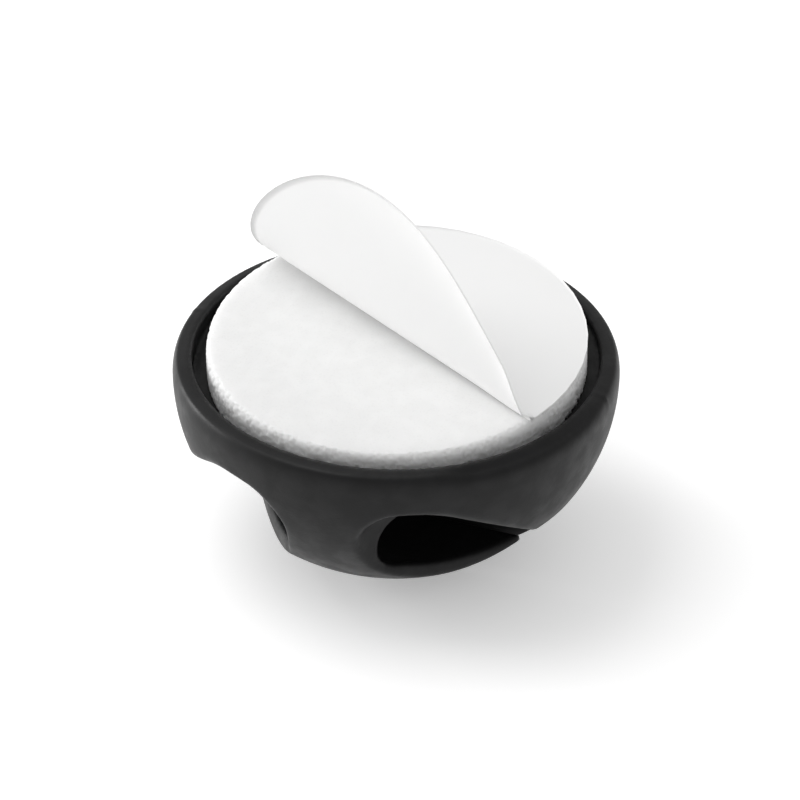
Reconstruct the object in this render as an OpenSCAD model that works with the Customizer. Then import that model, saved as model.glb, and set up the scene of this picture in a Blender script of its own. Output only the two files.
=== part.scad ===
// Cable clip: a domed rubber clip, dome down, with its adhesive base up.
// The cable channel runs along X, and the strap that closes it hangs from the -Y side of the flange.
// The origin is the lowest point of the dome, on the dome's own axis.

/* [Clip body] */
// Diameter of the body at its widest ring
body_d = 38; // [36.5:0.5:42]
// Height of the widest ring above the lowest point of the dome
belt_z = 17.5; // [17:0.25:18]
// Height of the rim's crest above the widest ring
rim_rise = 1.6; // [1.4:0.1:2]
// Width of the rim's lip, from the recess to the valley outside it
lip_w = 1.05; // [0.8:0.05:1.2]
// Depth of the valley outside the lip, below the crest
valley_drop = 0.55; // [0.4:0.05:0.8]
// Radius of the edge between the lip and the recess
crest_r = 0.3; // [0.1:0.05:0.4]

/* [Adhesive pad] */
// Diameter of the foam pad
pad_d = 32.4; // [31:0.1:32.8]
// Thickness of the foam pad
pad_t = 3; // [2.9:0.1:3.3]
// Height of the middle of the pad's upper face above the rim's crest
pad_stand = 1.4; // [1:0.1:1.5]
// Angle by which the pad and its recess lean down towards the strap
pad_lean_deg = 4; // [0:0.5:4]
// Gap between the pad's edge and the wall of its recess
pad_gap = 1.15; // [0.9:0.05:1.2]

/* [Release liner] */
// Thickness of the liner
liner_t = 0.12; // [0.1:0.01:0.2]
// Direction of the end of the peel line where the curl closes to a point
peel_point_deg = -26; // [-32:0.5:-20]
// Direction of the other end of the peel line, where the flap is wide
peel_wide_deg = 148.5; // [142:0.5:152]
// Angle at which the paper leaves the pad along the peel line
lift_deg = 28.5; // [20:0.5:45]
// How hard the flap curls back beside the peel line
curl_start = 4.73; // [4.5:0.01:4.9]

/* [Cable channel] */
// Bore of the seat that the cable lies in
seat_d = 5.2; // [4:0.1:5.6]
// Depth that the seat is sunk into the channel's ceiling and floor, which holds the cable in it
seat_sink = 0.1; // [0.05:0.05:0.3]
// Distance from the dome's axis to the centre of the seat
seat_y = 12; // [11.5:0.1:12.5]
// Thickness of the flange above the side mouths, from the middle of the pad's upper face
flange_t = 5.05; // [4.9:0.05:5.5]
// Distance from the dome's axis to where the ceiling starts to slope
ceiling_y = 16.25; // [15.75:0.25:17]
// Slope of the channel's ceiling
ceiling_deg = 35.2; // [34:0.1:37]
// Distance from the dome's axis to where the ceiling levels out again
tail_y = 6.5; // [6:0.1:7]
// Radius of the channel's broad floor
floor_r = 15.4; // [14.5:0.1:16.5]
// Angle round the seat at which the floor leaves it
floor_deg = 59.7; // [58:0.1:62]
// Width of the slit that the cable is pressed in through
slit_w = 1.2; // [0.8:0.1:1.8]

/* [Strap] */
// Width of the strap where it leaves the flange
strap_w = 6.2; // [5.6:0.2:8]
// Radius of the fillet between the strap and the flange
strap_fillet_r = 5; // [3:0.25:5.5]
// Distance from the dome's axis to where the strap starts to flare
flare_y = 15.7; // [15:0.1:16.5]
// Angle by which each edge of the strap flares towards its free end
flare_deg = 33.9; // [31:0.1:36]
// Distance from the dome's axis to the strap's free end
strap_end_y = 3; // [2.5:0.25:3.5]

/* [Hidden] */
rubber_color = "#2b2b2c";
foam_color = "#f2f2f0";
paper_color = "#fbfbfa";
round_fn = 96;
dome_steps = 28;
belly_steps = 6;
crest_steps = 4;
// Cuts run this far past the body
past = 5;
body_r = body_d / 2;
rim_z = belt_z + rim_rise;
recess_r = pad_d / 2 + pad_gap;
pad_top_z = rim_z + pad_stand;
valley_r = recess_r + lip_w;
valley_z = rim_z - valley_drop;
// The belly's arc stops short of its top, so that the valley is shallow
belly_end_deg = 70;

// The channel's section lies in the YZ plane, with the strap on the -Y side
seat_r = seat_d / 2;
mouth_z = pad_top_z - flange_t;
slit_y = slit_w - strap_end_y;
tail_z = mouth_z - (ceiling_y - tail_y) * tan(ceiling_deg);
up_slope = [sin(ceiling_deg), cos(ceiling_deg)];
seat_z = mouth_z - (ceiling_y - seat_y) * tan(ceiling_deg) - (seat_r - seat_sink) / cos(ceiling_deg);
seat_at = [-seat_y, seat_z];
to_floor = [cos(floor_deg), sin(floor_deg)];
floor_at = seat_at + (floor_r - seat_r + seat_sink) * to_floor;

// The fillet's arc stops short of the flange and runs out straight, so that it meets the flange at a slope
fillet_end_deg = 80;
fillet_steps = 10;
// Half-width at which the flare's outline starts, hidden inside the strap's root
narrow_half = 1;

// The liner's rays all start at one point of its edge, and past the peel line they curl upwards
liner_r = pad_d / 2;
rays_flat = 24;
rays_curl = 48;
// The rays start this far from their common point, and none is shorter than twice that
nick_r = 0.4;
// The curl eases, reverses and comes back with the angle along the paper, in turns for each radian
curl_ease = -12.88;
curl_back = 6.9;
point_at = liner_r * [cos(peel_point_deg), sin(peel_point_deg), 0];
wide_at = liner_r * [cos(peel_wide_deg), sin(peel_wide_deg), 0];
peel_dir = (wide_at - point_at) / norm(wide_at - point_at);
peeled_side = cross([0, 0, 1], peel_dir);
off_centre_deg = atan2(-point_at * peeled_side, -point_at * peel_dir);
reach_deg = acos(2 * nick_r / (2 * liner_r));
curl_step = (reach_deg + off_centre_deg) / rays_curl;
flat_step = (reach_deg - off_centre_deg) / rays_flat;

function curl_at(angle) =
    curl_start + curl_ease * angle * PI / 180 + curl_back * pow(angle * PI / 180, 2);

// Each ray is its direction and the direction in which the paper goes on from it
function turned(ray, step, curl) =
    let (
        ahead = ray[0] * cos(step) + ray[1] * sin(step),
        on = ray[1] * cos(step) - ray[0] * sin(step),
        up = cross(ahead, on)
    )
    [ahead, on * cos(curl * step) + up * sin(curl * step)];

function curled_rays(ray, count, done = 0) =
    done > count
        ? []
        : concat([ray], curled_rays(turned(ray, curl_step, curl_at(done * curl_step)), count, done + 1));

function flat_ray(angle) =
    [peel_dir * cos(angle) + peeled_side * sin(angle), peeled_side * cos(angle) - peel_dir * sin(angle)];

// Places what is stuck on at the middle of the pad's upper face, with the pad's lean
module at_pad_top() {
    translate([0, 0, pad_top_z])
        rotate([pad_lean_deg, 0, 0])
            children();
}

// Body of revolution: dome, belly, valley and lip, with the leaning recess cut into it
module dome_blank() {
    dome = [for (i = [0 : dome_steps])
        [body_r * sin(90 * i / dome_steps), belt_z * (1 - cos(90 * i / dome_steps))]];
    belly = [for (i = [1 : belly_steps])
        let (angle = belly_end_deg * i / belly_steps)
        [valley_r + (body_r - valley_r) * cos(angle), belt_z + (valley_z - belt_z) * sin(angle)]];
    crest = [for (i = [0 : crest_steps])
        let (angle = 60 + 120 * i / crest_steps)
        [recess_r + crest_r * (1 + cos(angle)), rim_z - crest_r * (1 - sin(angle))]];
    difference() {
        rotate_extrude($fn = round_fn)
            polygon(concat(dome, belly, [[valley_r, valley_z]], crest, [[0, rim_z - crest_r]]));
        intersection() {
            cylinder(r = recess_r, h = rim_z + past, $fn = round_fn);
            at_pad_top()
                translate([-body_d, -body_d, -pad_t])
                    cube([2 * body_d, 2 * body_d, pad_t + past]);
        }
    }
}

// Everything below the channel's ceiling, from the slit outwards
module below_ceiling_2d() {
    polygon([
        [-body_r - past, mouth_z],
        [-ceiling_y, mouth_z],
        [-tail_y, tail_z],
        [slit_y, tail_z],
        [slit_y, -past],
        [-body_r - past, -past]
    ]);
}

// What the channel takes out of the strap: a round seat, and a broad floor that rises from it
module channel_2d() {
    translate(seat_at)
        circle(r = seat_r, $fn = round_fn);
    intersection() {
        translate(floor_at)
            circle(r = floor_r, $fn = 2 * round_fn);
        polygon([
            seat_at,
            seat_at + (seat_r + past) * up_slope,
            [0, seat_z + floor_r],
            [0, -past],
            seat_at - floor_r * to_floor
        ]);
    }
}

// The strap's outline seen from its own side: upright edges that fillet into the flange
module strap_root_2d() {
    root = strap_w / 2;
    arc = [for (i = [0 : fillet_steps])
        let (angle = 180 - fillet_end_deg * i / fillet_steps)
        [root + strap_fillet_r * (1 + cos(angle)), mouth_z - strap_fillet_r * (1 - sin(angle))]];
    run_out = arc[fillet_steps] + past * [sin(fillet_end_deg), cos(fillet_end_deg)];
    edge = concat([[root, -past]], arc, [run_out]);
    polygon(concat(edge, [for (i = [len(edge) - 1 : -1 : 0]) [-edge[i][0], edge[i][1]]]));
}

// Extrudes a section of the YZ plane along X, past both sides of the body
module along_x() {
    rotate([90, 0, 90])
        linear_extrude(height = body_d + 2 * past, center = true)
            children();
}

// The strap before the dome trims it: upright at the flange, flared towards its free end
module strap() {
    // The upright root ends above the middle of the channel, where its fillet no longer reaches the ceiling
    root_end_y = seat_y - seat_r;
    narrow_y = flare_y + (strap_w / 2 - narrow_half) / tan(flare_deg);
    wide_half = strap_w / 2 + (flare_y - strap_end_y) * tan(flare_deg);
    difference() {
        union() {
            translate([0, -root_end_y, 0])
                rotate([90, 0, 0])
                    linear_extrude(height = body_r)
                        strap_root_2d();
            translate([0, 0, -past])
                linear_extrude(height = belt_z + past)
                    polygon([
                        [-narrow_half, -narrow_y],
                        [narrow_half, -narrow_y],
                        [wide_half, -strap_end_y],
                        [-wide_half, -strap_end_y]
                    ]);
        }
        along_x()
            channel_2d();
    }
}

module clip_body() {
    color(rubber_color)
        difference() {
            dome_blank();
            difference() {
                along_x()
                    below_ceiling_2d();
                strap();
            }
        }
}

module foam_pad() {
    color(foam_color)
        at_pad_top()
            translate([0, 0, -pad_t])
                cylinder(d = pad_d, h = pad_t, $fn = round_fn);
}

// One sheet of paper: stuck to the pad behind the peel line, and curled up in front of it
module release_liner() {
    start = [peel_dir, peeled_side * cos(lift_deg) + [0, 0, sin(lift_deg)]];
    flat_rays = [for (i = [-rays_flat : -1]) flat_ray(i * flat_step)];
    rays = concat(flat_rays, curled_rays(start, rays_curl));
    angles = concat([for (i = [-rays_flat : -1]) i * flat_step], [for (i = [0 : rays_curl]) i * curl_step]);
    count = len(rays);
    lengths = [for (angle = angles) 2 * liner_r * cos(angle - off_centre_deg)];
    // Each ray has four corners: near and far on the lower side, then near and far on the upper side
    corners = [for (i = [0 : count - 1], side = [0, 1], end = [nick_r, lengths[i]])
        point_at + end * rays[i][0] + side * liner_t * cross(rays[i][0], rays[i][1])];
    lower = [for (i = [0 : count - 2]) each [[4 * i, 4 * i + 1, 4 * i + 5], [4 * i, 4 * i + 5, 4 * i + 4]]];
    upper = [for (i = [0 : count - 2]) each [[4 * i + 2, 4 * i + 7, 4 * i + 3], [4 * i + 2, 4 * i + 6, 4 * i + 7]]];
    near = [for (i = [0 : count - 2]) each [[4 * i, 4 * i + 4, 4 * i + 6], [4 * i, 4 * i + 6, 4 * i + 2]]];
    rim = [for (i = [0 : count - 2]) each [[4 * i + 1, 4 * i + 7, 4 * i + 5], [4 * i + 1, 4 * i + 3, 4 * i + 7]]];
    last = 4 * (count - 1);
    ends = [[0, 2, 3], [0, 3, 1], [last, last + 3, last + 2], [last, last + 1, last + 3]];
    color(paper_color)
        at_pad_top()
            polyhedron(points = corners, faces = concat(lower, upper, near, rim, ends));
}

clip_body();
foam_pad();
release_liner();
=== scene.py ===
"""Cable clip lying on its dome: a moulded rubber body, a foam pad and a half-peeled paper liner.

Sizes are in millimetres in the clip's own frame: +X along the cable channel, the strap on the -Y side,
and +Z up to the adhesive base. Meshes are made in metres.
"""
import logging
import math
from dataclasses import dataclass, field
from enum import Enum

import bpy
import numpy as np
from mathutils import Matrix, Vector, noise


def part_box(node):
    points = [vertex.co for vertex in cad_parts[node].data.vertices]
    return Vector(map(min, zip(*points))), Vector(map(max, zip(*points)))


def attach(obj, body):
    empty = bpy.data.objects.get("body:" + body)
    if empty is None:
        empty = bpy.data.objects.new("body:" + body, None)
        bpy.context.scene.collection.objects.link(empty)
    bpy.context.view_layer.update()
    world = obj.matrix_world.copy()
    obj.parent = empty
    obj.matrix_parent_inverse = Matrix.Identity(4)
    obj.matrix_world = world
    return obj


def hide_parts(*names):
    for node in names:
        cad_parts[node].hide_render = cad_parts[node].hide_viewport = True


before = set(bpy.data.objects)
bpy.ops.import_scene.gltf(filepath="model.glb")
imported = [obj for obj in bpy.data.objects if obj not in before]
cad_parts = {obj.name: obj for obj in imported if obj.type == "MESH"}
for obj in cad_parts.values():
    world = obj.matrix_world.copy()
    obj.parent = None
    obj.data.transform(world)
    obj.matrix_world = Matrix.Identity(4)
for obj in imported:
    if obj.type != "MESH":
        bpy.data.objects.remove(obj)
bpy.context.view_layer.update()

MM = 0.001
BODY = "root"
Array = np.ndarray
log = logging.getLogger("cable_clip")


class Slot(Enum):
    """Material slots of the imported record."""

    RUBBER = "rubber"
    FOAM = "foam"
    PAPER = "paper"


class Face(Enum):
    """The two faces of the paper, as a share of its thickness."""

    LOWER = 0.0
    UPPER = 1.0


# Shader node groups and finishes


def add_socket(group: bpy.types.NodeTree, name: str, way: str, kind: str, value: float = 0.0) -> None:
    """Adds one named socket to a node group.

    Args:
        group: The node group.
        name: The socket's name.
        way: INPUT or OUTPUT.
        kind: The socket's type, such as NodeSocketFloat.
        value: Default value of a number input.
    """
    socket = group.interface.new_socket(name=name, in_out=way, socket_type=kind)
    if way == "INPUT" and kind == "NodeSocketFloat":
        socket.default_value = value


def mottle_group() -> bpy.types.NodeTree:
    """Builds the group that spreads cloudy patches and a fine grain over a surface, measured in millimetres.

    Returns:
        The node group. Patch and Grain run from 0 to 1, and Relief is a height in millimetres.
    """
    group = bpy.data.node_groups.new("patch_and_grain", "ShaderNodeTree")
    add_socket(group, "Patch Size", "INPUT", "NodeSocketFloat", 3.0)
    add_socket(group, "Grain Size", "INPUT", "NodeSocketFloat", 0.15)
    add_socket(group, "Patch Height", "INPUT", "NodeSocketFloat", 0.0)
    add_socket(group, "Grain Height", "INPUT", "NodeSocketFloat", 0.01)
    add_socket(group, "Patch", "OUTPUT", "NodeSocketFloat")
    add_socket(group, "Grain", "OUTPUT", "NodeSocketFloat")
    add_socket(group, "Relief", "OUTPUT", "NodeSocketFloat")
    nodes, links = group.nodes, group.links
    inputs = nodes.new("NodeGroupInput")
    outputs = nodes.new("NodeGroupOutput")
    place = nodes.new("ShaderNodeTexCoord")

    def noise_of(size_socket: str, detail: float) -> bpy.types.NodeSocket:
        """Adds a noise whose features have the size on that socket, and returns its value."""
        per_metre = nodes.new("ShaderNodeMath")
        per_metre.operation = "DIVIDE"
        per_metre.inputs[0].default_value = 1 / MM
        links.new(inputs.outputs[size_socket], per_metre.inputs[1])
        texture = nodes.new("ShaderNodeTexNoise")
        texture.inputs["Detail"].default_value = detail
        links.new(place.outputs["Object"], texture.inputs["Vector"])
        links.new(per_metre.outputs[0], texture.inputs["Scale"])
        return texture.outputs["Fac"]

    def product(first: bpy.types.NodeSocket, second: bpy.types.NodeSocket) -> bpy.types.NodeSocket:
        """Adds a multiply node and returns its output."""
        multiply = nodes.new("ShaderNodeMath")
        multiply.operation = "MULTIPLY"
        links.new(first, multiply.inputs[0])
        links.new(second, multiply.inputs[1])
        return multiply.outputs[0]

    patch = noise_of("Patch Size", 4.0)
    grain = noise_of("Grain Size", 2.0)
    relief = nodes.new("ShaderNodeMath")
    relief.operation = "ADD"
    links.new(product(patch, inputs.outputs["Patch Height"]), relief.inputs[0])
    links.new(product(grain, inputs.outputs["Grain Height"]), relief.inputs[1])
    links.new(patch, outputs.inputs["Patch"])
    links.new(grain, outputs.inputs["Grain"])
    links.new(relief.outputs[0], outputs.inputs["Relief"])
    return group


def ramp(
    nodes: bpy.types.Nodes,
    links: bpy.types.NodeLinks,
    source: bpy.types.NodeSocket,
    span: tuple[float, float],
    result: tuple[float, float],
) -> bpy.types.NodeSocket:
    """Maps a value from one span to another, clamped.

    Args:
        nodes: Nodes of the material.
        links: Links of the material.
        source: The value to map.
        span: Lowest and highest value taken in.
        result: The values that they become.

    Returns:
        The mapped value.
    """
    node = nodes.new("ShaderNodeMapRange")
    node.interpolation_type = "SMOOTHSTEP"
    node.inputs["From Min"].default_value, node.inputs["From Max"].default_value = span
    node.inputs["To Min"].default_value, node.inputs["To Max"].default_value = result
    links.new(source, node.inputs["Value"])
    return node.outputs["Result"]


@dataclass(frozen=True)
class Finish:
    """One surface finish: a base colour with cloudy patches, a fine grain, and pores where it has them."""

    name: str
    light: tuple[float, float, float]
    dark: tuple[float, float, float]
    roughness: tuple[float, float]
    specular: float
    patch_size: float
    grain_size: float
    patch_height: float
    grain_height: float
    patch_span: tuple[float, float] = (0.38, 0.66)
    pore_size: float = 0.0
    pore_depth: float = 0.0
    # Share of the colour left in the pores by their painted shade
    pore_shade: float = 1.0
    scatter: float = 0.0

    def material(self, group: bpy.types.NodeTree) -> bpy.types.Material:
        """Builds the material.

        Args:
            group: The shared group of patches and grain.

        Returns:
            The material, with its colour, roughness and bump from nodes.
        """
        material = bpy.data.materials.new(self.name)
        material.use_nodes = True
        nodes, links = material.node_tree.nodes, material.node_tree.links
        shader = nodes["Principled BSDF"]
        shader.inputs["Specular IOR Level"].default_value = self.specular
        if self.scatter:
            shader.inputs["Subsurface Weight"].default_value = 1.0
            shader.inputs["Subsurface Radius"].default_value = (1.0, 1.0, 1.0)
            shader.inputs["Subsurface Scale"].default_value = self.scatter * MM
        mottle = nodes.new("ShaderNodeGroup")
        mottle.node_tree = group
        mottle.inputs["Patch Size"].default_value = self.patch_size
        mottle.inputs["Grain Size"].default_value = self.grain_size
        mottle.inputs["Patch Height"].default_value = self.patch_height
        mottle.inputs["Grain Height"].default_value = self.grain_height
        mask = ramp(nodes, links, mottle.outputs["Patch"], self.patch_span, (0.0, 1.0))
        colour = nodes.new("ShaderNodeMix")
        colour.data_type = "RGBA"
        colour.inputs["A"].default_value = (*self.dark, 1.0)
        colour.inputs["B"].default_value = (*self.light, 1.0)
        links.new(mask, colour.inputs["Factor"])
        final_colour, height = colour.outputs["Result"], mottle.outputs["Relief"]
        if self.pore_size:
            final_colour, height = self._pores(nodes, links, final_colour, height)
        links.new(final_colour, shader.inputs["Base Color"])
        links.new(ramp(nodes, links, mottle.outputs["Patch"], self.patch_span, self.roughness), shader.inputs["Roughness"])
        bump = nodes.new("ShaderNodeBump")
        bump.inputs["Distance"].default_value = MM
        links.new(height, bump.inputs["Height"])
        links.new(bump.outputs["Normal"], shader.inputs["Normal"])
        return material

    def _pores(
        self,
        nodes: bpy.types.Nodes,
        links: bpy.types.NodeLinks,
        colour: bpy.types.NodeSocket,
        height: bpy.types.NodeSocket,
    ) -> tuple[bpy.types.NodeSocket, bpy.types.NodeSocket]:
        """Adds small open cells that are sunk and darkened with painted shade.

        Args:
            nodes: Nodes of the material.
            links: Links of the material.
            colour: The colour so far.
            height: The height so far.

        Returns:
            The colour and the height with the cells in them.
        """
        place = nodes.new("ShaderNodeTexCoord")
        cells = nodes.new("ShaderNodeTexVoronoi")
        cells.inputs["Scale"].default_value = 1 / (self.pore_size * MM)
        links.new(place.outputs["Object"], cells.inputs["Vector"])
        open_cell = ramp(nodes, links, cells.outputs["Distance"], (0.1, 0.42), (1.0, 0.0))
        # Painted shade: the open cells are darkened as if shade fell inside them
        dark = nodes.new("ShaderNodeMix")
        dark.data_type = "RGBA"
        dark.blend_type = "MULTIPLY"
        dark.inputs["B"].default_value = (self.pore_shade, self.pore_shade, self.pore_shade, 1.0)
        links.new(open_cell, dark.inputs["Factor"])
        links.new(colour, dark.inputs["A"])
        sunk = nodes.new("ShaderNodeMath")
        sunk.operation = "MULTIPLY_ADD"
        sunk.inputs[1].default_value = -self.pore_depth
        links.new(open_cell, sunk.inputs[0])
        links.new(height, sunk.inputs[2])
        return dark.outputs["Result"], sunk.outputs[0]


RUBBER = Finish(
    name="moulded_rubber",
    light=(0.0085, 0.0085, 0.0088),
    dark=(0.006, 0.006, 0.0062),
    roughness=(0.49, 0.4),
    specular=0.22,
    patch_size=2.2,
    grain_size=0.16,
    patch_height=0.035,
    grain_height=0.008,
)
FOAM = Finish(
    name="open_celled_foam",
    light=(0.845, 0.845, 0.842),
    dark=(0.82, 0.82, 0.817),
    roughness=(0.95, 0.85),
    specular=0.2,
    patch_size=2.5,
    grain_size=0.22,
    patch_height=0.02,
    grain_height=0.012,
    pore_size=0.3,
    pore_depth=0.008,
    pore_shade=0.975,
    scatter=1.5,
)
PAPER = Finish(
    name="release_paper",
    light=(0.95, 0.95, 0.947),
    dark=(0.94, 0.94, 0.937),
    roughness=(0.55, 0.42),
    specular=0.35,
    patch_size=6.0,
    grain_size=0.12,
    patch_height=0.02,
    grain_height=0.004,
)


# Meshes


def mesh_object(name: str, points: Array, faces: list[tuple[int, ...]], material: bpy.types.Material) -> bpy.types.Object:
    """Makes a smooth-shaded mesh object.

    Args:
        name: Name of the object and its mesh.
        points: Points in millimetres, one row each.
        faces: Corner indices of each face.
        material: The material of every face.

    Returns:
        The object, linked to the scene.
    """
    mesh = bpy.data.meshes.new(name)
    mesh.from_pydata((points * MM).tolist(), [], faces)
    mesh.materials.append(material)
    mesh.polygons.foreach_set("use_smooth", np.ones(len(mesh.polygons), bool))
    mesh.update()
    obj = bpy.data.objects.new(name, mesh)
    bpy.context.scene.collection.objects.link(obj)
    log.info("%s: %d points, %d faces", name, len(points), len(faces))
    return obj


def place_piece(piece: bpy.types.Object, node: str) -> None:
    """Rides a piece on the clip and lets it stand for its solid.

    Args:
        piece: The finished piece.
        node: The solid that it replaces.
    """
    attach(piece, BODY)
    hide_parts(node)


def smooth_step(value: Array, low: float, high: float) -> Array:
    """Eases from 0 at low to 1 at high."""
    share = np.clip((value - low) / (high - low), 0.0, 1.0)
    return share * share * (3 - 2 * share)


def round_max(first: Array, second: Array, radius: float | Array) -> Array:
    """Signed distance to the overlap of two solids, with its edges rounded to a radius."""
    corner = np.hypot(np.maximum(first + radius, 0), np.maximum(second + radius, 0))
    return np.minimum(np.maximum(first, second), -radius) + corner


def round_min(first: Array, second: Array, radius: float | Array) -> Array:
    """Signed distance to the sum of two solids, with a fillet of a radius between them."""
    return -round_max(-first, -second, radius)


def outline_distance(u: Array, v: Array, outline: Array) -> Array:
    """Signed distance from points of a plane to a closed outline, negative inside.

    Args:
        u: First coordinate of the points.
        v: Second coordinate, which broadcasts with the first.
        outline: The outline's corners, one row each.

    Returns:
        The distances.
    """
    nearest = np.full(np.broadcast_shapes(u.shape, v.shape), np.inf)
    inside = np.zeros(nearest.shape, bool)
    for start, end in zip(outline, np.roll(outline, -1, axis=0)):
        side = end - start
        from_u, from_v = u - start[0], v - start[1]
        share = np.clip((from_u * side[0] + from_v * side[1]) / (side @ side), 0.0, 1.0)
        nearest = np.minimum(nearest, (from_u - share * side[0]) ** 2 + (from_v - share * side[1]) ** 2)
        if side[1] != 0:
            crossed = (start[1] > v) != (end[1] > v)
            inside ^= crossed & (from_u < side[0] * from_v / side[1])
    return np.where(inside, -1.0, 1.0) * np.sqrt(nearest)


def skin_cells(values: Array, origin: Array, step: float) -> tuple[Array, Array]:
    """Wraps the zero level of a sampled field in four-cornered faces, one corner in each cell that it crosses.

    Args:
        values: The field on a regular grid, negative inside.
        origin: Place of the grid's first sample.
        step: Distance between samples.

    Returns:
        The corners, and the corner indices of each face.
    """
    inside = values < 0
    cells = tuple(n - 1 for n in values.shape)
    total = np.zeros((*cells, 3))
    count = np.zeros(cells)
    loops = []
    for axis in range(3):
        low = [slice(None)] * 3
        high = [slice(None)] * 3
        low[axis], high[axis] = slice(None, -1), slice(1, None)
        begins, ends = inside[tuple(low)], inside[tuple(high)]
        edges = np.argwhere(begins != ends)
        first, second = values[tuple(low)][tuple(edges.T)], values[tuple(high)][tuple(edges.T)]
        crossing = edges.astype(float)
        crossing[:, axis] += first / (first - second)
        beside, over = [a for a in range(3) if a != axis]
        corners = []
        for back_beside, back_over in ((1, 1), (0, 1), (0, 0), (1, 0)):
            cell = edges.copy()
            cell[:, beside] -= back_beside
            cell[:, over] -= back_over
            np.add.at(total, tuple(cell.T), crossing)
            np.add.at(count, tuple(cell.T), 1)
            corners.append(np.ravel_multi_index(tuple(cell.T), cells))
        quads = np.stack(corners, axis=1)
        turned = begins[tuple(edges.T)] ^ (axis == 1)
        loops.append(np.where(turned[:, None], quads, quads[:, ::-1]))
    used = count > 0
    number = np.full(used.size, -1)
    number[used.ravel()] = np.arange(used.sum())
    corners = origin + step * total[used] / count[used][:, None]
    return corners, number[np.concatenate(loops)]


# The sub-assemblies


@dataclass(frozen=True)
class PadSeat:
    """Where the pad sits on the clip: the body's recess, the pad and the liner all take their place from it."""

    rim_z: float = 19.1
    stand: float = 1.4
    lean_deg: float = 4.0
    pad_r: float = 16.2
    pad_t: float = 3.0
    gap: float = 1.15

    @property
    def top_z(self) -> float:
        """Height of the middle of the pad's upper face."""
        return self.rim_z + self.stand

    @property
    def recess_r(self) -> float:
        """Radius of the recess."""
        return self.pad_r + self.gap

    def height(self, y: Array, z: Array) -> Array:
        """Height above the pad's upper face, square to it."""
        lean = math.radians(self.lean_deg)
        return (z - self.top_z) * math.cos(lean) - y * math.sin(lean)

    def place(self, points: Array) -> Array:
        """Moves points from the pad's own frame, whose origin is the middle of its upper face."""
        lean = np.array(Matrix.Rotation(math.radians(self.lean_deg), 3, "X"))
        return points @ lean.T + [0.0, 0.0, self.top_z]


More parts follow.
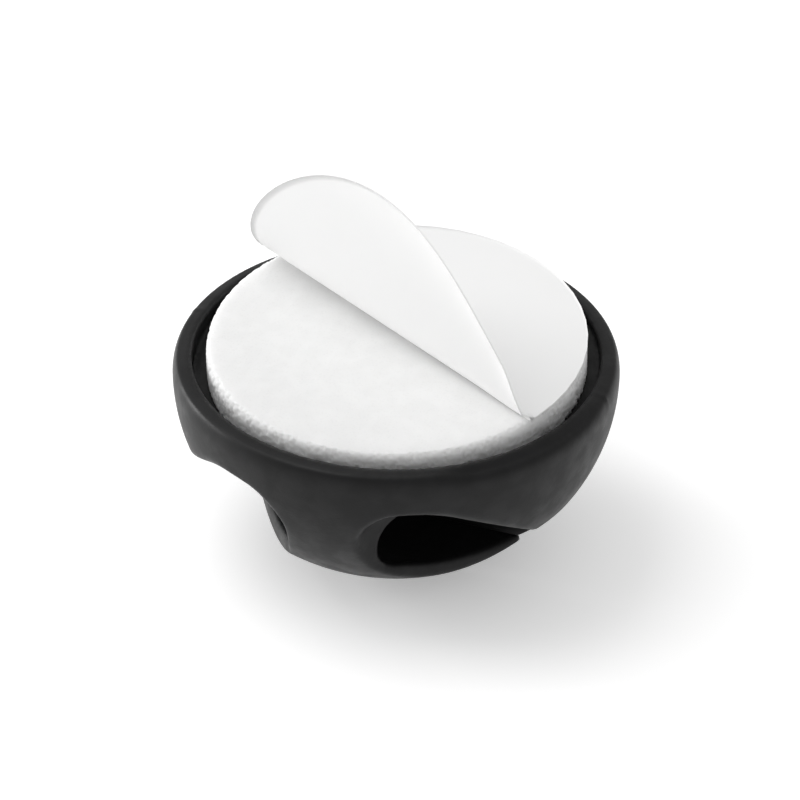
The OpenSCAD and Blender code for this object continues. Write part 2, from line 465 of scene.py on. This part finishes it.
@dataclass(frozen=True)
class ClipBody:
    """The rubber body: a dome with a lipped rim, a cable channel through its side and the strap that closes it."""

    seat: PadSeat
    finish: Finish = RUBBER
    body_r: float = 19.0
    belt_z: float = 17.5
    lip_w: float = 1.05
    valley_drop: float = 0.55
    plain_drop: float = 0.12
    groove_deg: float = -30.0
    groove_half_deg: float = 32.0
    crest_run: float = 0.35
    bore_r: float = 2.6
    bore_sink: float = 0.1
    bore_y: float = 12.0
    flange_t: float = 5.05
    ceiling_y: float = 16.25
    ceiling_deg: float = 35.2
    tail_y: float = 6.5
    floor_r: float = 15.4
    floor_deg: float = 59.7
    slit_w: float = 1.2
    strap_w: float = 6.2
    fillet_r: float = 5.0
    fillet_end_deg: float = 80.0
    flare_y: float = 15.7
    flare_deg: float = 33.9
    strap_end_y: float = 3.0
    narrow_half: float = 0.2
    past: float = 5.0
    rim_edge_r: float = 0.16
    mouth_edge_r: float = 0.5
    ceiling_bend_r: float = 6.0
    strap_edge_r: float = 0.25
    corner_r: float = 0.1
    end_reach: float = 1.3
    channel_edge_r: float = 0.6
    root_edge_r: float = 1.6
    root_blend_r: float = 0.5
    flare_blend_r: float = 1.4
    flash_h: float = 0.07
    flash_w: float = 0.16
    cell: float = 0.28
    table_step: float = 0.05

    @property
    def mouth_z(self) -> float:
        """Height of the ceiling at the side mouths."""
        return self.seat.top_z - self.flange_t

    @property
    def bore_at(self) -> Array:
        """Centre of the cable's bore, along Y and Z."""
        slope = math.radians(self.ceiling_deg)
        drop = (self.ceiling_y - self.bore_y) * math.tan(slope) + (self.bore_r - self.bore_sink) / math.cos(slope)
        return np.array([-self.bore_y, self.mouth_z - drop])

    def profile(self, drop: float) -> Array:
        """The dome's half section as radius and height, from its lowest point over the rim to the axis.

        Args:
            drop: Depth of the groove outside the rim's crest.

        Returns:
            The section's corners.
        """
        valley_r = self.seat.recess_r + self.lip_w
        valley_z = self.seat.rim_z - drop
        crest_r = self.seat.recess_r + self.crest_run
        rise = np.linspace(0, math.pi / 2, 160)
        dome = np.stack([self.body_r * np.sin(rise), self.belt_z * (1 - np.cos(rise))], axis=1)
        turn = np.linspace(0, math.radians(78), 40)[1:]
        wide, tall = self.body_r - valley_r, valley_z - self.belt_z
        belly = np.stack([valley_r + wide * np.cos(turn), self.belt_z + tall * np.sin(turn)], axis=1)
        share = np.linspace(0, 1, 40)
        climb = valley_z + (self.seat.rim_z - valley_z) * (0.5 - 0.5 * np.cos(math.pi * share))
        crest = np.stack([valley_r + (crest_r - valley_r) * share, climb], axis=1)
        return np.concatenate([dome, belly, crest, [[0.0, self.seat.rim_z]]])

    def profile_tables(self) -> tuple[Array, Array]:
        """Distances to the smooth and to the grooved section, sampled so that each point only looks them up."""
        radii = np.arange(0, self.body_r + 2, self.table_step)[:, None]
        heights = np.arange(-1, self.seat.rim_z + 2, self.table_step)[None, :]
        behind = [[-self.body_r, self.seat.rim_z], [-self.body_r, 0.0]]
        smooth, grooved = (
            outline_distance(radii, heights, np.concatenate([self.profile(drop), behind]))
            for drop in (self.plain_drop, self.valley_drop)
        )
        return smooth, grooved

    def dome(self, tables: tuple[Array, Array], x: Array, y: Array, z: Array) -> Array:
        """Signed distance to the body of revolution.

        Args:
            tables: The result of profile_tables.
            x: First coordinate of the points.
            y: Second coordinate.
            z: Third coordinate.

        Returns:
            The distances.
        """
        turn = np.degrees(np.arctan2(y, x)) - self.groove_deg
        share = 1 - smooth_step(np.abs(turn), self.groove_half_deg / 2, self.groove_half_deg)
        across = np.hypot(x, y) / self.table_step
        up = (z + 1) / self.table_step
        i = np.clip(np.floor(across).astype(int), 0, tables[0].shape[0] - 2)
        j = np.clip(np.floor(up).astype(int), 0, tables[0].shape[1] - 2)
        a = np.clip(across - i, 0, 1)
        b = np.clip(up - j, 0, 1)
        found = []
        for table in tables:
            low = table[i, j] * (1 - a) + table[i + 1, j] * a
            high = table[i, j + 1] * (1 - a) + table[i + 1, j + 1] * a
            found.append(low * (1 - b) + high * b)
        return found[0] * (1 - share) + found[1] * share

    def channel(self, y: Array, z: Array) -> Array:
        """Signed distance to the channel that runs through the strap: a round bore and a broad floor."""
        slope, turn = math.radians(self.ceiling_deg), math.radians(self.floor_deg)
        to_floor = np.array([math.cos(turn), math.sin(turn)])
        up_slope = np.array([math.sin(slope), math.cos(slope)])
        bore = self.bore_at
        floor_at = bore + (self.floor_r - self.bore_r + self.bore_sink) * to_floor
        wedge = np.array([
            bore,
            bore + (self.bore_r + self.past) * up_slope,
            [0.0, bore[1] + self.floor_r],
            [0.0, -self.past],
            bore - self.floor_r * to_floor,
        ])
        disc = np.hypot(y - floor_at[0], z - floor_at[1]) - self.floor_r
        broad = np.maximum(disc, outline_distance(y, z, wedge))
        return np.minimum(np.hypot(y - bore[0], z - bore[1]) - self.bore_r, broad)

    def below_ceiling(self, y: Array, z: Array) -> Array:
        """Signed distance to the space below the channel's ceiling, from the slit outwards."""
        slit_y = self.slit_w - self.strap_end_y
        tail_z = self.mouth_z - (self.ceiling_y - self.tail_y) * math.tan(math.radians(self.ceiling_deg))
        far = -self.body_r - self.past
        slope = math.radians(self.ceiling_deg)
        turn = np.linspace(0, slope, 16)
        bend_y = -self.ceiling_y - self.ceiling_bend_r * math.tan(slope / 2)
        bend = np.stack([
            bend_y + self.ceiling_bend_r * np.sin(turn),
            self.mouth_z - self.ceiling_bend_r * (1 - np.cos(turn)),
        ], axis=1)
        inner = [[-self.tail_y, tail_z], [slit_y, tail_z], [slit_y, -self.past], [far, -self.past]]
        return outline_distance(y, z, np.concatenate([[[far, self.mouth_z]], bend, inner]))

    def strap_outlines(self) -> tuple[Array, Array]:
        """The strap's outlines: from the side, with the fillets at its root, and its flare, less its round corners."""
        half = self.strap_w / 2
        turn = np.radians(180 - np.linspace(0, self.fillet_end_deg, 14))
        arc = np.stack([half + self.fillet_r * (1 + np.cos(turn)), self.mouth_z - self.fillet_r * (1 - np.sin(turn))], axis=1)
        end = math.radians(self.fillet_end_deg)
        run_out = arc[-1] + self.past * np.array([math.sin(end), math.cos(end)])
        edge = np.concatenate([[[half, -self.past]], arc, [run_out]])
        root = np.concatenate([edge, edge[::-1] * [-1, 1]])
        flare = math.radians(self.flare_deg)
        inset = self.corner_r / math.cos(flare)
        end_y = self.strap_end_y + self.corner_r
        narrow_y = self.flare_y + (half - inset - self.narrow_half) / math.tan(flare)
        wide = half - inset + (self.flare_y - end_y) * math.tan(flare)
        fan = np.array([
            [-self.narrow_half, -narrow_y],
            [self.narrow_half, -narrow_y],
            [wide + self.end_reach, -end_y],
            [-wide, -end_y],
        ])
        return root, fan

    def solid(self, tables: tuple[Array, Array], x: Array, y: Array, z: Array) -> Array:
        """Signed distance to the whole body, with its edges rounded as they come out of the mould.

        Args:
            tables: The result of profile_tables.
            x: First coordinate of the points.
            y: Second coordinate.
            z: Third coordinate.

        Returns:
            The distances, negative inside the rubber.
        """
        root, fan = self.strap_outlines()
        root_end = -(self.bore_y - self.bore_r)
        upright = round_max(outline_distance(x, z, root), y - root_end, self.root_edge_r)
        flared = outline_distance(x, y, fan) - self.corner_r
        strap = round_min(upright, np.maximum(flared, z - self.belt_z), self.flare_blend_r)
        strap = round_max(strap, -self.channel(y, z), self.channel_edge_r)
        kept = round_min(-self.below_ceiling(y, z), strap, self.root_blend_r)
        radius = np.hypot(x, y)
        flash = self.flash_h * np.exp(-((y / self.flash_w) ** 2)) * smooth_step(z, self.belt_z - 1, self.belt_z + 1)
        recess = np.maximum(radius - self.seat.recess_r, -(self.seat.height(y, z) + self.seat.pad_t))
        domed = round_max(self.dome(tables, x, y, z) - flash, -recess, self.rim_edge_r)
        high = smooth_step(z, 7.0, 12.0)
        edge_r = self.strap_edge_r + (self.mouth_edge_r - self.strap_edge_r) * high
        return round_max(domed, kept, edge_r)

    def settle(self, tables: tuple[Array, Array], points: Array) -> Array:
        """Moves the corners of the skin onto the true surface.

        Args:
            tables: The result of profile_tables.
            points: The corners.

        Returns:
            The moved corners.
        """
        probe = 0.03
        for _ in range(3):
            x, y, z = points.T
            value = self.solid(tables, x, y, z)
            slope = np.stack([
                self.solid(tables, x + probe, y, z) - self.solid(tables, x - probe, y, z),
                self.solid(tables, x, y + probe, z) - self.solid(tables, x, y - probe, z),
                self.solid(tables, x, y, z + probe) - self.solid(tables, x, y, z - probe),
            ], axis=1) / (2 * probe)
            steep = np.maximum((slope ** 2).sum(axis=1), 0.25)
            shift = np.clip(value / steep, -self.cell / 2, self.cell / 2)
            points = points - shift[:, None] * slope
        return points

    def build(self, group: bpy.types.NodeTree) -> bpy.types.Object:
        """Builds and dresses the body.

        Args:
            group: The shared group of patches and grain.

        Returns:
            The body's object.
        """
        tables = self.profile_tables()
        reach = self.body_r + 3 * self.cell
        across = np.arange(-reach, reach, self.cell)
        up = np.arange(-2.5 * self.cell, self.seat.rim_z + 3 * self.cell, self.cell)
        values = self.solid(tables, across[:, None, None], across[None, :, None], up[None, None, :])
        corners, faces = skin_cells(values, np.array([across[0], across[0], up[0]]), self.cell)
        corners = self.settle(tables, corners)
        low, high = (np.array(corner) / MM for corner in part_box("clip_body"))
        body = mesh_object("moulded_body", np.clip(corners, low, high), faces.tolist(), self.finish.material(group))
        place_piece(body, "clip_body")
        return body


@dataclass(frozen=True)
class FoamPad:
    """The die-cut foam disc, with open cells along its cut edge."""

    seat: PadSeat
    finish: Finish = FOAM
    spokes: int = 960
    wall_rows: int = 20
    edge_r: float = 0.42
    edge_h: float = 1.1
    edge_rows: int = 14
    top_rows: int = 22
    cell_size: float = 0.45
    cell_depth: float = 0.2
    wander: float = 0.08
    dimple: float = 0.02
    cells_fade: float = 1.3

    def rows(self) -> Array:
        """The pad's section from the bottom of its wall to the middle of its top, as radius and height."""
        radius, bottom = self.seat.pad_r, -self.seat.pad_t
        wall = [(radius, z) for z in np.linspace(bottom, -self.edge_h, self.wall_rows)]
        turns = np.linspace(0, math.pi / 2, self.edge_rows + 1)[1:]
        edge = [(radius - self.edge_r * (1 - math.cos(t)), -self.edge_h * (1 - math.sin(t))) for t in turns]
        inner = radius - self.edge_r
        top = [(inner * (1 - share ** 1.8), 0.0) for share in np.linspace(0, 1, self.top_rows + 1)[1:-1]]
        return np.array(wall + edge + top)

    def ragged(self, radius: float, turn: float, height: float) -> tuple[float, float]:
        """How far a point of the pad is pulled in and sunk by the foam's cells.

        Args:
            radius: Distance from the pad's axis.
            turn: Direction in radians.
            height: Height, where the top is 0.

        Returns:
            The pull towards the axis, and the depth that it is sunk.
        """
        place = Vector((radius * math.cos(turn), radius * math.sin(turn), height))
        near = min(max(1 - (self.seat.pad_r - radius) / self.cells_fade, 0.0), 1.0)
        distance = noise.voronoi(place / self.cell_size)[0][0]
        cell = max(1 - distance / 0.55, 0.0) ** 0.7
        wave = 0.5 + 0.5 * noise.noise(place / 1.3)
        fine = 0.5 + 0.5 * noise.noise(place / 0.35)
        pull = near * (self.cell_depth * cell + self.wander * (0.5 * wave + 0.5 * fine))
        sunk = self.dimple * (0.6 * wave + 0.4 * fine) + 0.5 * near * near * self.cell_depth * cell
        return pull, sunk

    def build(self, group: bpy.types.NodeTree) -> bpy.types.Object:
        """Builds and dresses the pad.

        Args:
            group: The shared group of patches and grain.

        Returns:
            The pad's object.
        """
        rows = self.rows()
        turns = np.linspace(0, 2 * math.pi, self.spokes, endpoint=False)
        points = []
        for radius, height in rows:
            for turn in turns:
                pull, sunk = self.ragged(radius, turn, height)
                if height <= -self.seat.pad_t:
                    sunk = 0.0
                inner = radius - pull
                points.append((inner * math.cos(turn), inner * math.sin(turn), height - sunk))
        points += [(0.0, 0.0, -self.dimple), (0.0, 0.0, -self.seat.pad_t)]
        middle, under = len(points) - 2, len(points) - 1
        count, last = self.spokes, (len(rows) - 1) * self.spokes
        faces = [
            (r * count + s, r * count + (s + 1) % count, (r + 1) * count + (s + 1) % count, (r + 1) * count + s)
            for r in range(len(rows) - 1)
            for s in range(count)
        ]
        faces += [(last + s, last + (s + 1) % count, middle) for s in range(count)]
        faces += [((s + 1) % count, s, under) for s in range(count)]
        pad = mesh_object("foam_disc", self.seat.place(np.array(points)), faces, self.finish.material(group))
        place_piece(pad, "foam_pad")
        return pad


@dataclass(frozen=True)
class Liner:
    """The round paper liner, stuck to the pad behind the peel line and curled up in front of it."""

    seat: PadSeat
    finish: Finish = PAPER
    thickness: float = 0.12
    point_deg: float = -26.0
    wide_deg: float = 148.5
    lift_deg: float = 28.5
    curl: tuple[float, float, float] = (4.73, -12.88, 6.9)
    flat_rays: int = 24
    curled_rays: int = 48
    nick_r: float = 0.4
    between: int = 4
    along: int = 40
    flat_reach: tuple[float, float] = (-1.0, 6.5)
    float_gap: float = 0.006

    @property
    def point_at(self) -> Array:
        """The end of the peel line where the curl closes to a point, which all rays start from."""
        turn = math.radians(self.point_deg)
        return self.seat.pad_r * np.array([math.cos(turn), math.sin(turn), 0.0])

    @property
    def peel_dir(self) -> Array:
        """Direction of the peel line, away from its point."""
        turn = math.radians(self.wide_deg)
        chord = self.seat.pad_r * np.array([math.cos(turn), math.sin(turn), 0.0]) - self.point_at
        return chord / np.linalg.norm(chord)

    def rays(self) -> tuple[Array, Array, Array]:
        """Rolls the paper out from its common point.

        Returns:
            The angle of each ray in the flat paper, its direction, and the direction in which the paper goes on.
        """
        along = self.peel_dir
        aside = np.cross([0.0, 0.0, 1.0], along)
        off_centre = math.atan2(-self.point_at @ aside, -self.point_at @ along)
        reach = math.acos(self.nick_r / self.seat.pad_r)
        flat_step = (reach - off_centre) / self.flat_rays
        curl_step = (reach + off_centre) / self.curled_rays
        angles, ahead, on = [], [], []
        for i in range(-self.flat_rays, 0):
            angle = i * flat_step
            angles.append(angle)
            ahead.append(along * math.cos(angle) + aside * math.sin(angle))
            on.append(aside * math.cos(angle) - along * math.sin(angle))
        lift = math.radians(self.lift_deg)
        ray, onward = along, aside * math.cos(lift) + np.array([0.0, 0.0, math.sin(lift)])
        for i in range(self.curled_rays + 1):
            angles.append(i * curl_step)
            ahead.append(ray)
            on.append(onward)
            bend = np.polyval(self.curl[::-1], i * curl_step) * curl_step
            ray, turned = (
                ray * math.cos(curl_step) + onward * math.sin(curl_step),
                onward * math.cos(curl_step) - ray * math.sin(curl_step),
            )
            onward = turned * math.cos(bend) + np.cross(ray, turned) * math.sin(bend)
        return np.array(angles) - off_centre, np.array(ahead), np.array(on)

    def fine(self, rows: Array) -> Array:
        """Puts more rows between the curled rays, on smooth curves through them."""
        start = self.flat_rays
        curled = rows[start:]
        padded = np.concatenate([2 * curled[:1] - curled[1:2], curled, 2 * curled[-1:] - curled[-2:-1]])
        result = [rows[:start]]
        for i in range(len(curled) - 1):
            a, b, c, d = padded[i : i + 4]
            for k in range(self.between):
                t = k / self.between
                bend = (2 * a - 5 * b + 4 * c - d) * t * t + (3 * b - a - 3 * c + d) * t ** 3
                result.append((b + 0.5 * ((c - a) * t + bend))[None])
        result.append(curled[-1:])
        return np.concatenate(result)

    def build(self, group: bpy.types.NodeTree) -> bpy.types.Object:
        """Builds and dresses the liner.

        Args:
            group: The shared group of patches and grain.

        Returns:
            The liner's object.
        """
        angles, ahead, on = self.rays()
        angles = self.fine(angles[:, None])[:, 0]
        ahead, on = self.fine(ahead), self.fine(on)
        ahead /= np.linalg.norm(ahead, axis=1)[:, None]
        square = np.cross(ahead, on)
        square /= np.linalg.norm(square, axis=1)[:, None]
        lengths = 2 * self.seat.pad_r * np.cos(angles)
        share = np.linspace(0, 1, self.along + 1)
        reach = self.nick_r + (lengths[:, None] - self.nick_r) * share[None, :]
        sheet = reach[:, :, None] * ahead[:, None, :]
        keep = smooth_step(reach, *self.flat_reach)
        sheet[:, :, 2] = np.where(sheet[:, :, 2] > 0, sheet[:, :, 2] * keep, sheet[:, :, 2])
        sheet += self.point_at + [0.0, 0.0, self.float_gap]
        faces = []
        layers = []
        rays, steps = reach.shape
        for side in Face:
            layers.append((sheet + side.value * self.thickness * square[:, None, :]).reshape(-1, 3))
        upper = rays * steps
        for i in range(rays - 1):
            for j in range(steps - 1):
                a, b, c, d = i * steps + j, i * steps + j + 1, (i + 1) * steps + j + 1, (i + 1) * steps + j
                faces.append((a, d, c, b))
                faces.append((a + upper, b + upper, c + upper, d + upper))
        around = [i * steps for i in range(rays)]
        around += [(rays - 1) * steps + j for j in range(1, steps)]
        around += [i * steps + steps - 1 for i in range(rays - 2, -1, -1)]
        around += list(range(steps - 2, 0, -1))
        flat_from = len(faces)
        for a, b in zip(around, around[1:] + around[:1]):
            faces.append((a, b, b + upper, a + upper))
        points = self.seat.place(np.concatenate(layers))
        low, high = (np.array(corner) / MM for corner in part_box("release_liner"))
        points = np.clip(points, low, high)
        liner = mesh_object("paper_liner", points, faces, self.finish.material(group))
        for polygon in liner.data.polygons[flat_from:]:
            polygon.use_smooth = False
        place_piece(liner, "release_liner")
        return liner


@dataclass(frozen=True)
class Studio:
    """The camera, the pale floor and the soft light."""

    target: tuple[float, float, float] = (0.0, 0.0, 20.5)
    azimuth_deg: float = 20.8
    elevation_deg: float = 33.2
    roll_deg: float = 0.23
    distance: float = 319.6
    lens: float = 170.0
    shift: tuple[float, float] = (0.0046, -0.0794)
    world_strength: float = 0.6
    floor_glow: float = 0.3
    lamp_distance: float = 420.0
    top_side: tuple[float, float, float] = (-0.5, -0.1, 1.0)
    top_size: float = 300.0
    top_power: float = 0.62
    left_side: tuple[float, float, float] = (-1.0, -0.38, 0.2)
    left_size: float = 150.0
    left_power: float = 0.85
    floor_half: float = 1500.0

    def axes(self) -> tuple[Vector, Vector, Vector]:
        """The camera's right, up and backward directions."""
        turn, rise = math.radians(self.azimuth_deg), math.radians(self.elevation_deg)
        back = Vector((math.sin(turn) * math.cos(rise), -math.cos(turn) * math.cos(rise), math.sin(rise)))
        right = Vector((math.cos(turn), math.sin(turn), 0.0))
        return right, back.cross(right), back

    def camera(self) -> bpy.types.Object:
        """Adds the camera at the photograph's viewing angle and makes it the scene's own."""
        right, up, back = self.axes()
        data = bpy.data.cameras.new("camera")
        data.lens = self.lens
        data.sensor_width = 36.0
        data.shift_x, data.shift_y = self.shift
        data.clip_start = 0.01
        camera = bpy.data.objects.new("camera", data)
        basis = Matrix((right, up, back)).transposed().to_4x4()
        place = (Vector(self.target) + back * self.distance) * MM
        camera.matrix_world = Matrix.Translation(place) @ basis @ Matrix.Rotation(math.radians(self.roll_deg), 4, "Z")
        bpy.context.scene.collection.objects.link(camera)
        bpy.context.scene.camera = camera
        return camera

    def lamp(self, name: str, side: tuple[float, float, float], size: float, power: float) -> bpy.types.Object:
        """Adds a soft square lamp that faces the clip.

        Args:
            name: Its name.
            side: How far it stands to the camera's right, towards the camera and upwards, as shares.
            size: Its width in millimetres.
            power: Its power in watts.

        Returns:
            The lamp's object.
        """
        right, _, back = self.axes()
        level = Vector((back.x, back.y, 0.0)).normalized()
        towards = (right * side[0] + level * side[1] + Vector((0.0, 0.0, side[2]))).normalized()
        data = bpy.data.lights.new(name, "AREA")
        data.size = size * MM
        data.energy = power
        lamp = bpy.data.objects.new(name, data)
        lamp.location = (Vector(self.target) + towards * self.lamp_distance) * MM
        lamp.rotation_euler = towards.to_track_quat("Z", "Y").to_euler()
        bpy.context.scene.collection.objects.link(lamp)
        return lamp

    def seen_rays(self, tree: bpy.types.NodeTree, unseen: float, seen: float) -> bpy.types.NodeSocket:
        """Adds a value that differs between the rays that light the clip and those that show the background.

        Args:
            tree: The nodes of the floor's material.
            unseen: The value for the rays that light the clip.
            seen: The value for camera, glossy and transmission rays.

        Returns:
            The value's socket.
        """
        path = tree.nodes.new("ShaderNodeLightPath")
        total = path.outputs["Is Camera Ray"]
        for name in ("Is Glossy Ray", "Is Transmission Ray"):
            either = tree.nodes.new("ShaderNodeMath")
            either.operation = "MAXIMUM"
            tree.links.new(total, either.inputs[0])
            tree.links.new(path.outputs[name], either.inputs[1])
            total = either.outputs[0]
        value = tree.nodes.new("ShaderNodeMapRange")
        value.inputs["To Min"].default_value = unseen
        value.inputs["To Max"].default_value = seen
        tree.links.new(total, value.inputs["Value"])
        return value.outputs["Result"]

    def floor(self) -> bpy.types.Object:
        """Adds the plain white floor, which is no part of the clip."""
        material = bpy.data.materials.new("white_floor")
        material.use_nodes = True
        shader = material.node_tree.nodes["Principled BSDF"]
        shader.inputs["Base Color"].default_value = (1.0, 1.0, 1.0, 1.0)
        shader.inputs["Roughness"].default_value = 1.0
        shader.inputs["Specular IOR Level"].default_value = 0.0
        glow = material.node_tree.nodes.new("ShaderNodeEmission")
        both = material.node_tree.nodes.new("ShaderNodeAddShader")
        seen = self.seen_rays(material.node_tree, 0.0, self.floor_glow)
        links = material.node_tree.links
        links.new(seen, glow.inputs["Strength"])
        links.new(shader.outputs["BSDF"], both.inputs[0])
        links.new(glow.outputs["Emission"], both.inputs[1])
        links.new(both.outputs["Shader"], material.node_tree.nodes["Material Output"].inputs["Surface"])
        half = self.floor_half
        corners = np.array([(-half, -half, 0.0), (half, -half, 0.0), (half, half, 0.0), (-half, half, 0.0)])
        floor = mesh_object("white_floor", corners, [(0, 1, 2, 3)], material)
        return floor

    def world(self) -> None:
        """Lights the scene evenly from all sides."""
        world = bpy.data.worlds.new("even_white")
        world.use_nodes = True
        background = world.node_tree.nodes["Background"]
        background.inputs["Color"].default_value = (1.0, 1.0, 1.0, 1.0)
        background.inputs["Strength"].default_value = self.world_strength
        bpy.context.scene.world = world

    def build(self) -> None:
        """Sets up the camera, the light and the floor."""
        bpy.context.scene.view_settings.view_transform = "Standard"
        self.camera()
        self.world()
        self.lamp("top_lamp", self.top_side, self.top_size, self.top_power)
        self.lamp("left_lamp", self.left_side, self.left_size, self.left_power)
        self.floor()


@dataclass(frozen=True)
class CableClip:
    """The whole clip."""

    seat: PadSeat = field(default_factory=PadSeat)

    def build(self) -> list[bpy.types.Object]:
        """Builds the three pieces.

        Returns:
            Their objects.
        """
        group = mottle_group()
        return [part(self.seat).build(group) for part in (ClipBody, FoamPad, Liner)]


def main() -> None:
    """Builds the studio and the clip, and reports each piece."""
    logging.basicConfig(level=logging.INFO, format="%(name)s: %(message)s")
    Studio().build()
    for piece in CableClip().build():
        log.info("%s stands %.2f mm tall", piece.name, piece.dimensions.z / MM)


if __name__ == "__main__":
    main()
